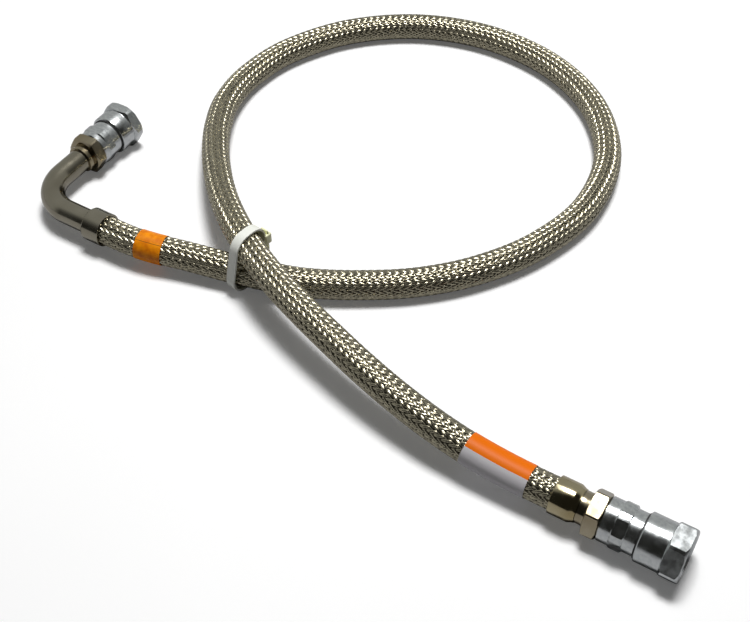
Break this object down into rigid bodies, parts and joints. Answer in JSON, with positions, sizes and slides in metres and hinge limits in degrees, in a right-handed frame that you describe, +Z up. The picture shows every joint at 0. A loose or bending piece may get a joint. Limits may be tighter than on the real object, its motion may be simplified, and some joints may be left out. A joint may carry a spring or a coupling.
{
  "type": "cryogenic compressor hose",
  "caption": "Braided metal helium hose in one tied loop, straight at one end and elbowed at the other, with swivelling self-sealing screw couplings.",
  "frame": {"origin": "on the surface the hose lies on, below the middle of the box round the two end fittings", "axes": "+X out of the straight coupling, +Y out of the elbow's coupling, +Z up"},
  "size_m": [0.5023, 0.3956, 0.0428],
  "materials": {
    "braid": "woven stainless wire",
    "inner_hose": "satin",
    "stainless": "polished",
    "gold_steel": "heat-tinted, polished",
    "zinc": "bright zinc plate",
    "dark_rubber": "satin",
    "spring_steel": "drawn wire",
    "nylon": "natural nylon",
    "label": "printed film",
    "tape": "vinyl tape"
  },
  "bodies": {
    "hose_assembly": {"inner_hose": "inner_hose", "braid_sleeve": "braid", "cable_tie": "nylon", "hose_label": "label", "tape_band": "tape", "straight_ferrule": "gold_steel", "straight_adapter": "gold_steel", "straight_coupling_body": "zinc", "straight_retaining_wire": "spring_steel", "straight_dust_ring": "dark_rubber", "straight_face_seal": "dark_rubber", "straight_valve_stem": "gold_steel", "straight_valve_seal": "dark_rubber", "straight_valve_spring": "spring_steel", "elbow_ferrule": "stainless", "elbow_tube": "stainless", "elbow_adapter": "gold_steel", "elbow_coupling_body": "zinc", "elbow_retaining_wire": "spring_steel", "elbow_dust_ring": "dark_rubber", "elbow_face_seal": "dark_rubber", "elbow_valve_stem": "gold_steel", "elbow_valve_seal": "dark_rubber", "elbow_valve_spring": "spring_steel"},
    "straight_nut": {"straight_union_nut": "zinc"},
    "elbow_nut": {"elbow_union_nut": "zinc"},
    "straight_valve": {"straight_valve_sleeve": "zinc"},
    "elbow_valve": {"elbow_valve_sleeve": "zinc"}
  },
  "joints": [
    {"name": "straight_nut_swivel", "type": "hinge", "parent": "hose_assembly", "child": "straight_nut", "pos_m": [0.24, -0.0567, 0.0151], "axis": [1, 0, 0], "continuous": true},
    {"name": "elbow_nut_swivel", "type": "hinge", "parent": "hose_assembly", "child": "elbow_nut", "pos_m": [-0.2338, 0.065, 0.0151], "axis": [0, 1, 0], "continuous": true},
    {"name": "straight_valve_slide", "type": "slide", "parent": "hose_assembly", "child": "straight_valve", "axis": [-1, 0, 0], "range_m": [0, 0.0055], "stiffness_N_per_m": 800, "springref_m": -0.003, "deforming": ["straight_valve_spring"]},
    {"name": "elbow_valve_slide", "type": "slide", "parent": "hose_assembly", "child": "elbow_valve", "axis": [0, -1, 0], "range_m": [0, 0.0055], "stiffness_N_per_m": 800, "springref_m": -0.003, "deforming": ["elbow_valve_spring"]}
  ]
}
